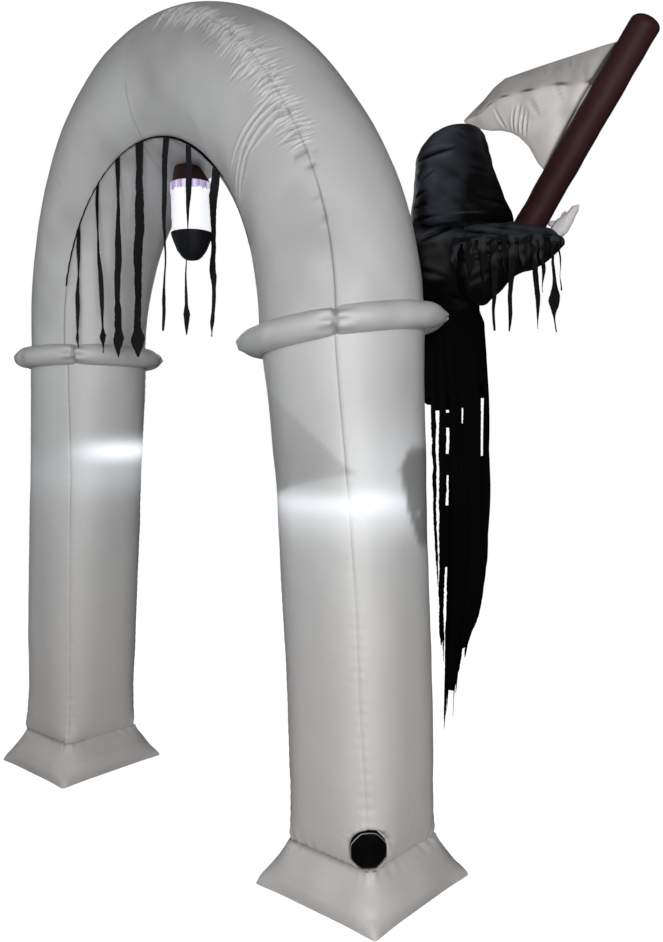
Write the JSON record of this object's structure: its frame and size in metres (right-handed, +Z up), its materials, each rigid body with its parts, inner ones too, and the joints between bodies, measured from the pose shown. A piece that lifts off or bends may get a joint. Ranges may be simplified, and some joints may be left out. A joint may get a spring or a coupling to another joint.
{
  "type": "inflatable arch",
  "caption": "Free-standing inflated walk-through arch of pale tubes on square plinths, with collars, torn strips, a hung lantern and a hooded scythe bearer sewn behind one leg.",
  "frame": {"origin": "middle of the footprint of the whole object, on the ground under the plinths", "axes": "+Z up; +X across the arch, towards the leg that carries the figure; +Y through the arch, towards the figure's side"},
  "size_m": [2.4014, 0.7883, 2.7409],
  "materials": {
    "pale_nylon": "pale grey coated nylon, soft sheen",
    "black_nylon": "black coated nylon, soft sheen",
    "torn_black_cloth": "thin black cloth, matt, torn edges",
    "brown_black_nylon": "brown black coated nylon",
    "violet_frill": "thin frilled cloth",
    "clear_globe": "milky film, lit from inside",
    "dark_red_nylon": "dark red brown coated nylon, soft sheen",
    "blade_nylon": "pale warm grey coated nylon",
    "glove_nylon": "white nylon",
    "guard_plastic": "black open guard"
  },
  "bodies": {
    "root": {"arch_bow": "pale_nylon", "base_left": "pale_nylon", "base_right": "pale_nylon", "collar_left": "pale_nylon", "collar_right": "pale_nylon", "hand": "glove_nylon", "hood": "black_nylon", "inlet_guard": "guard_plastic", "inlet_rim": "pale_nylon", "lantern_bowl": "black_nylon", "lantern_cap": "brown_black_nylon", "lantern_frill": "violet_frill", "lantern_globe": "clear_globe", "leg_left": "pale_nylon", "leg_right": "pale_nylon", "robe": "torn_black_cloth", "scythe_blade": "blade_nylon", "scythe_pole": "dark_red_nylon", "sleeve": "black_nylon", "sleeve_trim": "torn_black_cloth", "strip_1": "torn_black_cloth", "strip_2": "torn_black_cloth", "strip_3": "torn_black_cloth", "strip_4": "torn_black_cloth", "strip_5": "torn_black_cloth", "strip_6": "torn_black_cloth", "strip_7": "torn_black_cloth", "strip_binding": "torn_black_cloth", "torso": "black_nylon"}
  },
  "joints": []
}
